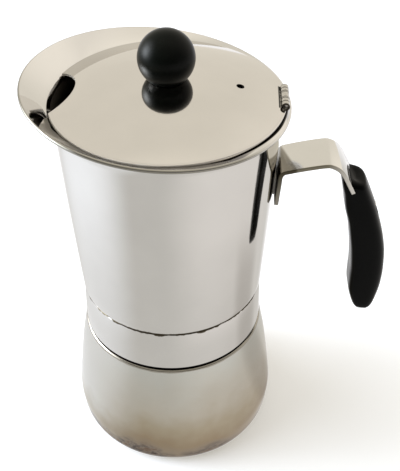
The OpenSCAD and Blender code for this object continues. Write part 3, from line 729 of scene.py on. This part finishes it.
def boiler(sides=192):
    """The lower pot: an open revolve, closed by a flat disc outside and inside its bottom."""
    profile = boiler_profile()
    verts = [v for a in all_round(sides) for v in at_angle(profile, a)]
    count = len(profile)
    faces = grid_faces(sides, count, True, False)
    faces.append([i * count for i in range(sides)])
    faces.append([i * count + count - 1 for i in range(sides)])
    piece = mesh_piece("boiler", verts, faces)
    dress(piece, "boiler", "boiler", "polished_steel", "boiler_shell")


def thread_ring(sides=144):
    """The boiler's mouth, with the round thread that the upper pot turns on."""
    top_z = BOILER_H + THREAD_H
    low_z = BOILER_H - SPIGOT_H
    root_r = THREAD_R - THREAD_DEPTH
    bore_r = THREAD_R - THREAD_WALL
    verts = []
    for a in all_round(sides):
        section = [(root_r, low_z)]
        for z in np.arange(BOILER_H + 0.1, top_z, THREAD_PITCH / 10):
            fade = min((z - BOILER_H) / THREAD_FADE, (top_z - z) / THREAD_FADE, 1)
            ridge = 0.5 - 0.5 * math.cos(TAU * z / THREAD_PITCH - a)
            section.append((THREAD_R - THREAD_DEPTH * (1 - fade * ridge**0.7), z))
        section += [(root_r - 0.3, top_z), (bore_r, top_z), (bore_r, low_z)]
        verts += at_angle(section, a)
    piece = mesh_piece("mouth_thread", verts, grid_faces(sides, len(section), True, True))
    dress(piece, "thread", "boiler", "turned_steel", "thread_ring")


def relief_spring(turns=4, steps=40, sides=12):
    """The valve's coil spring, built at one length; the real one shortens as the relief pin slides
    out.
    """
    corners = [Vector(c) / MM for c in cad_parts["valve_spring"].bound_box]
    low = Vector([min(c[k] for c in corners) for k in range(3)])
    high = Vector([max(c[k] for c in corners) for k in range(3)])
    centre_x, centre_z = (low.x + high.x) / 2, (low.z + high.z) / 2
    coil_r = (high.z - low.z) / 2 - SPRING_WIRE_R
    rise = high.y - low.y - 2 * SPRING_WIRE_R
    verts = []
    for i in range(turns * steps + 1):
        a = TAU * i / steps
        for b in all_round(sides):
            r = coil_r + SPRING_WIRE_R * math.cos(b)
            y = low.y + SPRING_WIRE_R * (1 - math.sin(b)) + rise * i / turns / steps
            verts.append((centre_x + r * math.cos(a), y, centre_z - r * math.sin(a)))
    piece = loft("relief_spring", verts, sides, 60)
    dress(piece, "turned", "boiler", "spring_steel", "valve_spring")
    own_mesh(piece)


# ---- upper pot ----
def collar():
    """The ring under the groove, rounded at its foot and stepped in at its top."""
    soft = arc((COLLAR_R - COLLAR_ROUND, COLLAR_LOW_Z + COLLAR_ROUND), COLLAR_ROUND, -80, 0, 5)
    profile = [(COLLAR_IN_R, COLLAR_LOW_Z)] + soft + [
        (COLLAR_TOP_R, GROOVE_Z - 1.2), (COLLAR_TOP_R - 0.12, GROOVE_Z - 0.8),
        (COLLAR_TOP_R - 0.4, GROOVE_Z - 0.35), (COLLAR_TOP_R - 1.0, GROOVE_Z),
        (COLLAR_IN_R, GROOVE_Z)]
    dress(revolve("collar_ring", profile), "vessel", "vessel", "polished_steel", "collar")


def vessel():
    """The tapered wall from the groove up to its flared neck."""
    foot = [(COLLAR_IN_R, GROOVE_Z), (VESSEL_R - 1.0, GROOVE_Z), (VESSEL_R - 0.4, GROOVE_Z + 0.3),
            (VESSEL_R - 0.12, GROOVE_Z + 0.6)]
    neck_z = VESSEL_H - NECK_H
    middle = ((VESSEL_R + MOUTH_R) / 2 + VESSEL_BULGE, (GROOVE_Z + 0.9 + neck_z) / 2)
    side = curve([(VESSEL_R, GROOVE_Z + 0.95), middle, (MOUTH_R, neck_z)], 12)
    side += [(MOUTH_R + NECK_OUT * t**NECK_CURVE, neck_z + NECK_H * t)
             for t in np.linspace(0.1, 1, 10)]
    floor_z = GROOVE_Z + 2
    inside = [(r - VESSEL_WALL, z) for r, z in reversed(side) if z > floor_z]
    inside += [(VESSEL_R - VESSEL_WALL, floor_z), (COLLAR_IN_R, GROOVE_Z + 1.2)]
    piece = revolve("vessel_wall", foot + side + inside)
    dress(piece, "vessel", "vessel", "polished_steel", "vessel_shell")


def rim_radius(a):
    """Distance from the pot's axis to the rim, whose circle is shifted towards the spout."""
    return -RIM_SHIFT * math.cos(a) + math.sqrt(RIM_R**2 - (RIM_SHIFT * math.sin(a))**2)


def lip_profile(a, steps=16):
    """The lip's section at an angle: up the inside from the lid's seat, and down the outside."""
    radius = rim_radius(a)
    end_r = max(radius - BEAD_R, SEAT_R + LIP_LEAST)
    end_z = RIM_Z - RIM_SLOPE * radius * math.cos(a) - BEAD_R
    filled = (min(max((end_z - CREASE_Z) / 2, 0), 1)
              * min(max((math.cos(a) - FILL_END_COS) / FILL_SOFT_COS, 0), 1))
    start_z = CREASE_Z + CREASE_FILL * filled
    rise = end_z + BEAD_R - start_z
    top = [(SEAT_R, CREASE_Z - 0.01)]
    top += [(SEAT_R + (end_r - SEAT_R) * t, start_z + rise * t**LIP_BEND_IN)
            for t in np.linspace(0, 1, steps)]
    bead = arc((end_r, end_z), BEAD_R, 60, -135, 9)
    foot_r = MOUTH_R + NECK_OUT
    heel_r, heel_z = bead[-1][0] - foot_r, bead[-1][1] - VESSEL_H
    under = [(foot_r + heel_r * t, VESSEL_H + heel_z * t**LIP_BEND)
             for t in np.linspace(1, 0, steps)[1:]]
    return [(foot_r - VESSEL_WALL, VESSEL_H)] + top + bead + under


def lip(sides=256):
    """The flared pouring lip: its section changes all the way round."""
    verts = [v for a in all_round(sides) for v in at_angle(lip_profile(a), a)]
    piece = mesh_piece("spout_lip", verts, grid_faces(sides, len(verts) // sides, True, True))
    dress(piece, "lip", "vessel", "polished_steel", "pouring_lip")


# ---- lid ----
def lid():
    """The domed sheet with its turned edge, spout scallop, hinge notch and steam vent."""
    sphere_r = (LID_R**2 + LID_RISE**2) / (2 * LID_RISE)
    centre_z = LID_TOP_Z - sphere_r

    def dome(r, drop):
        return (r, centre_z + math.sqrt((sphere_r - drop)**2 - r * r))

    turn_r = LID_R - LID_ROUND
    turn_z = dome(turn_r, 0)[1] - LID_ROUND
    outer = [dome(r, 0) for r in np.linspace(LID_CENTRE_R, turn_r, 60)]
    inner = [dome(r, LID_WALL) for r in np.linspace(LID_R - LID_WALL, LID_CENTRE_R, 60)]
    profile = outer + arc((turn_r, turn_z), LID_ROUND, 75, 0, 8)
    profile += [(LID_R, LID_LOW_Z), (LID_R - LID_WALL, LID_LOW_Z)] + inner
    piece = revolve("lid_dome", profile, 256)
    low_z = LID_LOW_Z - 2
    scallop_x = -SCALLOP_X - SCALLOP_R
    notch_x, notch_y = HINGE_X - BARREL_R - BARREL_RECESS, BARREL_LEN / 2 + BARREL_RECESS
    beyond_x = 60
    cut(piece, rod("cutter", (scallop_x, 0, low_z), (scallop_x, 0, LID_TOP_Z), SCALLOP_R, 256))
    cut(piece, block("cutter", (notch_x, -notch_y, low_z), (beyond_x, notch_y, LID_TOP_Z)))
    cut(piece, rod("cutter", (VENT_X, 0, LID_LOW_Z), (VENT_X, 0, LID_TOP_Z + 2), VENT_R, 64))
    shade(piece, 30)
    dress(piece, "lid", "lid", "lid_steel", "lid")


def knob():
    """The ball on its flat foot, bored for the insert; its profile stays just off the axis."""
    ball_z = LID_TOP_Z + BALL_R * BALL_SEAT
    low = -math.asin(BALL_SEAT)
    angles = np.linspace(math.pi / 2 - 0.001, low, 80)
    profile = [(BALL_R * math.cos(a), ball_z + BALL_R * math.sin(a)) for a in angles]
    foot_r = profile[-1][0]
    foot_z = LID_TOP_Z + KNOB_LIFT
    profile += [(foot_r - 0.5, foot_z), (KNOB_BORE_R, foot_z), (KNOB_BORE_R, ball_z)]
    profile += [(0.012, ball_z)]
    dress(revolve("knob_ball", profile, 128), "knob", "lid", "knob_black", "knob")


# ---- handle ----
def vessel_radius(z):
    """The outer radius of the vessel's wall at height z, below its neck."""
    t = (z - GROOVE_Z) / (VESSEL_H - NECK_H - GROOVE_Z)
    return VESSEL_R + (MOUTH_R - VESSEL_R) * t + 4 * VESSEL_BULGE * t * (1 - t)


# The strap's hook from the arch's crest down into the grip, as shares of its reach and of its drop.
STRAP_HOOK = [
    (0.15, 0.008), (0.322, 0.062), (0.458, 0.158), (0.567, 0.273), (0.7, 0.417), (0.816, 0.571),
    (0.926, 0.771), (1, 1)]


def strap_line():
    """The line of one face of the strap, from its foot over the arch and down into the grip.

    The face looks at the vessel at the foot, up over the arch and outwards in the grip.
    """
    leg_top_z = STRAP_BEND_Z - BEND_H
    leg_low_z = leg_top_z - LEG_H
    low_x = vessel_radius(leg_low_z) + PAD_T
    top_x = vessel_radius(leg_top_z) + PAD_T + 0.2
    return curve([
        (low_x, leg_low_z), ((low_x + top_x) / 2, (leg_low_z + leg_top_z) / 2), (top_x, leg_top_z),
        (top_x + 0.04 * BEND_H, STRAP_BEND_Z - 0.5 * BEND_H),
        (top_x + 0.24 * BEND_H, STRAP_BEND_Z - 0.17 * BEND_H),
        (top_x + 0.72 * BEND_H, STRAP_BEND_Z),
        ((top_x + 0.77 * BEND_H + ARCH_X) / 2, CREST_Z - 1.4), (ARCH_X, CREST_Z)]
        + [(ARCH_X + a * HOOK_REACH, CREST_Z - b * HOOK_DROP) for a, b in STRAP_HOOK], 9)


def sheet_loft(name, line, width, near, far, edge):
    """A bent sheet with rounded edges; near and far are its faces' distances from a line in XZ."""
    line = np.array(line)
    along = np.gradient(line, axis=0)
    along /= np.linalg.norm(along, axis=1)[:, None]
    across = np.stack([-along[:, 1], along[:, 0]], 1)
    half_t, half_w, middle = abs(near - far) / 2, width / 2, (near + far) / 2
    corners = [(1, 1, 0), (-1, 1, 90), (-1, -1, 180), (1, -1, 270)]
    section = [(sy * (half_w - edge) + edge * math.cos(math.radians(start + turn)),
                st * (half_t - edge) + edge * math.sin(math.radians(start + turn)))
               for sy, st, start in corners for turn in (0, 30, 60, 90)]
    verts = [(p[0] + (middle + t) * c[0], y, p[1] + (middle + t) * c[1])
             for p, c in zip(line, across) for y, t in section]
    return loft(name, verts, len(section), 30)


def strap_shape(name, gap, edge):
    """The wide strap and the narrower tongue in the grip, all round larger by gap."""
    line = strap_line()
    tongue_x = ARCH_X + 0.42 * HOOK_REACH
    tongue_z = CREST_Z - 0.414 * HOOK_DROP
    wide = [p for p in line if p[0] < ARCH_X or p[1] > tongue_z]
    narrow = [p for p in line if p[0] > tongue_x]
    near, far = gap, -STRAP_T - gap
    strap = sheet_loft(name, wide, STRAP_W + 2 * gap, near, far, edge)
    # A hair thinner than the strap, so that no two faces coincide
    tongue = sheet_loft("tongue", narrow, TONGUE_W + 2 * gap, near - 0.01, far + 0.01, edge)
    combine(strap, tongue, "UNION")
    return strap


def handle():
    """The bent steel strap, with a hole for the grip's screw."""
    strap = strap_shape("strap_sheet", 0, STRAP_EDGE)
    # The cutter reaches past both faces of the strap
    cut(strap, rod("cutter", (SCREW_X - 8, 0, SCREW_Z), (SCREW_X + 12, 0, SCREW_Z), SCREW_R))
    shade(strap, 30)
    dress(strap, "strap", "vessel", "polished_steel", "handle_strap")


# Each row is a station of the grip, in millimetres: X and Z of its inner side, X and Z of its
# outer side, and its share of the grip's width.
GRIP_STATIONS = [
    (75.8, 149.3, 79.7, 147.0, 0.45), (74.2, 148.9, 83.4, 146.5, 0.8),
    (73.5, 147.4, 84.6, 145.0, 0.95), (73.8, 144.8, 85.7, 142.7, 1),
    (74.9, 140.5, 87.5, 138.7, 1), (76.4, 132.8, 90.5, 131.6, 1),
    (78.6, 125.2, 93.1, 124.3, 1), (80.2, 117.6, 95.4, 117.1, 1),
    (81.8, 108.6, 97.5, 108.1, 1), (83.0, 98.5, 98.6, 98.1, 1),
    (83.3, 91.0, 98.8, 90.6, 1), (83.8, 84.3, 98.3, 83.6, 0.99),
    (85.9, 77.5, 96.9, 76.2, 0.96), (87.6, 74.3, 95.5, 73.5, 0.87),
    (89.0, 72.6, 94.0, 72.4, 0.66), (90.7, 72.05, 92.6, 72.0, 0.3)]
# Powers that shape the grip's section: 1 is an ellipse, and smaller is squarer.
GRIP_ROUND_IN, GRIP_ROUND_OUT = 0.4, 0.7


def grip():
    """Rounded sections, flatter towards the pot, with the strap's slot and the screw's hole."""
    sides = 72
    verts = []
    for inner_x, inner_z, outer_x, outer_z, share in curve(GRIP_STATIONS, 7):
        middle = ((inner_x + outer_x) / 2, (inner_z + outer_z) / 2)
        reach = ((outer_x - inner_x) / 2, (outer_z - inner_z) / 2)
        for t in all_round(sides):
            power = GRIP_ROUND_IN if math.cos(t) < 0 else GRIP_ROUND_OUT
            u = math.copysign(abs(math.cos(t))**power, math.cos(t))
            v = math.copysign(abs(math.sin(t))**power, math.sin(t))
            x, z = middle[0] + reach[0] * u, middle[1] + reach[1] * u
            verts.append((x, v * share * GRIP_W / 2, z))
    piece = loft("grip_body", verts, sides, 40)
    cut(piece, strap_shape("cutter", SLOT_GAP, SLOT_EDGE))
    # The shank's hole, blind behind the strap, and the head's bore, open to the outside
    cut(piece, rod("cutter", (SCREW_X - 3, 0, SCREW_Z), (SCREW_HEAD_X + 1, 0, SCREW_Z),
                   SCREW_R + SCREW_FIT))
    cut(piece, rod("cutter", (SCREW_HEAD_X, 0, SCREW_Z), (SCREW_HEAD_X + 14, 0, SCREW_Z),
                   SCREW_HEAD_R + SCREW_HEAD_FIT))
    shade(piece, 40)
    dress(piece, "grip", "vessel", "grip_black", "grip")


add_camera()
boiler()
thread_ring()
relief_spring()
collar()
vessel()
lip()
lid()
knob()
handle()
grip()

# CAD nodes that are shown as they are, by material.
BARE_NODES = {
    "turned": ["valve_seat", "basket", "basket_plate", "funnel_stem", "vessel_floor",
               "filter_plate", "coffee_column", "column_cap"],
    "brass": ["valve_body", "valve_nut", "valve_pin", "valve_cap", "knob_insert"],
    "hinge": ["hinge_leaf", "hinge_pin", "lid_knuckles"],
    "satin": ["knob_screw", "knob_washer", "grip_screw"],
    "pad": ["strap_pad"],
    "fibre": ["valve_washer"],
    "silicone": ["gasket"],
}
for material_name, node_names in BARE_NODES.items():
    for node_name in node_names:
        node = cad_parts[node_name]
        node.data.materials.clear()
        node.data.materials.append(MATERIALS[material_name])


# ---- studio: a cream wall behind, a window at the left, a dim room behind the camera ----
# Directions from the pot, and the brightness that the mirrors see there.
WALL, WALL_LIGHT = (0, 0.9, 0.35), (0.74, 0.69, 0.59)
WINDOW, WINDOW_LIGHT, WINDOW_CORE = (-0.96, 0.04, 0.27), (4.2, 4.4, 4.6), (14, 15, 16)
CEILING, CEILING_LIGHT = (0, -0.45, 0.89), (0.38, 0.35, 0.3)
FAR_ROOM, FAR_ROOM_LIGHT = (0.95, 0.1, 0.3), (0.25, 0.23, 0.22)
DIM_ROOM = (0.165, 0.16, 0.155)
SUN_FROM = (-0.86, 0.03, 0.5)

# The table in mirrors, glowing with painted light: its plain light, what is added to it on each
# side, and a painted shadow under the handle.
TABLE_PLAIN = (0.545, 0.53, 0.50)
TABLE_LEFT, TABLE_LEFT_LIGHT = (-1, -0.03, 0), (0.86, 0.93, 1.06)
TABLE_RIGHT, TABLE_RIGHT_LIGHT = (0.94, -0.34, 0), (0.24, 0.22, 0.22)
UNDER_HANDLE, UNDER_HANDLE_SHADOW = (0.99, 0.1, 0), (-0.17, -0.17, -0.17)
TABLE_BACK, TABLE_BACK_LIGHT = (0, 1, 0), (0.46, 0.47, 0.52)
# The table itself: its matt colour, a faint one under its light in mirrors, and its light for
# the camera.
TABLE_COLOUR = (0.79, 0.83, 0.92)
TABLE_FAINT = (0.1, 0.098, 0.097)
TABLE_WHITE = (1, 0.955, 0.84)


class Surround:
    """Builds a colour out of soft lobes, each around one direction."""

    def __init__(self, tree, direction, base):
        self.tree, self.direction = tree, direction
        self.sum = new_node(tree, "ShaderNodeRGB").outputs["Color"]
        self.sum.default_value = (*base, 1)

    def soft(self, value, low, high, to_low=0.0, to_high=1.0):
        """Maps low to high onto 0 to 1, or onto two other values, with soft ends."""
        return map_range(self.tree, value, (low, high), (to_low, to_high), "SMOOTHSTEP")

    def lobe(self, towards, start, full, colour, share=None):
        """Adds a colour around a direction; share is a socket that scales it.

        The colour begins where the cosine of the angle to that direction is start, and is whole
        where it is full.
        """
        cosine = dot(self.tree, self.direction, Vector(towards).normalized())
        amount = self.soft(cosine, start, full)
        if share:
            product = new_node(self.tree, "ShaderNodeMath", amount, share, operation="MULTIPLY")
            amount = product.outputs["Value"]
        part = new_node(self.tree, "ShaderNodeVectorMath", colour, operation="SCALE", Scale=amount)
        total = new_node(self.tree, "ShaderNodeVectorMath", self.sum, part.outputs["Vector"],
                         operation="ADD")
        self.sum = total.outputs["Vector"]


def shader_mix(tree, factor, first, second):
    """Blends two shaders; factor is a socket or a number."""
    return new_node(tree, "ShaderNodeMixShader", factor, first, second).outputs["Shader"]


def light(tree, kind, colour, strength=1.0):
    """A background or emission shader; colour is a socket or an RGB triple."""
    return new_node(tree, kind, Color=colour, Strength=strength).outputs[0]


def studio():
    """The room that the mirrors see; the camera sees white behind the pot."""
    scene = bpy.context.scene
    scene.view_settings.view_transform = "Standard"
    world = bpy.data.worlds.new("studio")
    scene.world = world
    world.use_nodes = True
    tree = world.node_tree
    tree.nodes.clear()
    direction = new_node(tree, "ShaderNodeTexCoord").outputs["Generated"]
    path = new_node(tree, "ShaderNodeLightPath")
    room = Surround(tree, direction, DIM_ROOM)
    room.lobe(WALL, -0.25, 0.55, WALL_LIGHT)
    room.lobe(WINDOW, 0.8, 0.97, WINDOW_LIGHT)
    room.lobe(WINDOW, 0.95, 0.99, WINDOW_CORE)
    room.lobe(CEILING, 0.6, 0.97, CEILING_LIGHT, path.outputs["Is Glossy Ray"])
    room.lobe(FAR_ROOM, 0.4, 0.95, FAR_ROOM_LIGHT)
    surround = light(tree, "ShaderNodeBackground", room.sum)
    white = light(tree, "ShaderNodeBackground", (1, 1, 1))
    seen = shader_mix(tree, path.outputs["Is Camera Ray"], surround, white)
    new_node(tree, "ShaderNodeOutputWorld", Surface=seen)


def window_light():
    """Daylight from the left for the table's shadow; mirrors see the world's window instead."""
    data = bpy.data.lights.new("daylight", "SUN")
    data.energy = 2.8
    data.angle = math.radians(70)
    data.color = (0.97, 0.99, 1.0)
    lamp = add_object("daylight", data)
    lamp.rotation_euler = Vector(SUN_FROM).to_track_quat("Z", "Y").to_euler()
    lamp.visible_glossy = False


def mirrored_table(tree):
    """The table's light in mirrors: by direction from the pot's foot, and by distance from it."""
    place = new_node(tree, "ShaderNodeNewGeometry").outputs["Position"]
    distance = new_node(tree, "ShaderNodeVectorMath", place, operation="LENGTH").outputs["Value"]
    seen = Surround(tree, unit(tree, place), TABLE_PLAIN)
    seen.lobe(TABLE_LEFT, 0.53, 1.06, TABLE_LEFT_LIGHT, seen.soft(distance, 0.1, 0.24, 0.32, 0.62))
    seen.lobe(TABLE_RIGHT, 0.2, 1.0, TABLE_RIGHT_LIGHT, seen.soft(distance, 0.1, 0.2, 0.55, 1.0))
    # A painted shadow on the table under the handle, seen in mirrors
    seen.lobe(UNDER_HANDLE, 0.93, 1.0, UNDER_HANDLE_SHADOW, seen.soft(distance, 0.13, 0.2, 1.0, 0.0))
    seen.lobe(TABLE_BACK, 0.62, 0.9, TABLE_BACK_LIGHT)
    return light(tree, "ShaderNodeEmission", seen.sum)


def diffuse(tree, colour):
    """A plain matt shader."""
    return new_node(tree, "ShaderNodeBsdfDiffuse", Color=colour).outputs["BSDF"]


def floor():
    """A white table: the camera sees a lit one that takes the shadow, and mirrors see their own."""
    half, z = 6000, -0.02
    corners = [(-half, -half, z), (half, -half, z), (half, half, z), (-half, half, z)]
    piece = mesh_piece("floor", corners, [(0, 1, 2, 3)])
    material = bpy.data.materials.new("table_white")
    material.use_nodes = True
    tree = material.node_tree
    tree.nodes.clear()
    table = diffuse(tree, TABLE_COLOUR)
    faint = diffuse(tree, TABLE_FAINT)
    in_mirrors = new_node(tree, "ShaderNodeAddShader", faint, mirrored_table(tree))
    white = light(tree, "ShaderNodeEmission", TABLE_WHITE, 1.74)
    path = new_node(tree, "ShaderNodeLightPath")
    indirect = shader_mix(tree, path.outputs["Is Glossy Ray"], table, in_mirrors.outputs["Shader"])
    direct = shader_mix(tree, 0.25, table, white)
    seen = shader_mix(tree, path.outputs["Is Camera Ray"], indirect, direct)
    new_node(tree, "ShaderNodeOutputMaterial", Surface=seen)
    piece.data.materials.append(material)


studio()
window_light()
floor()
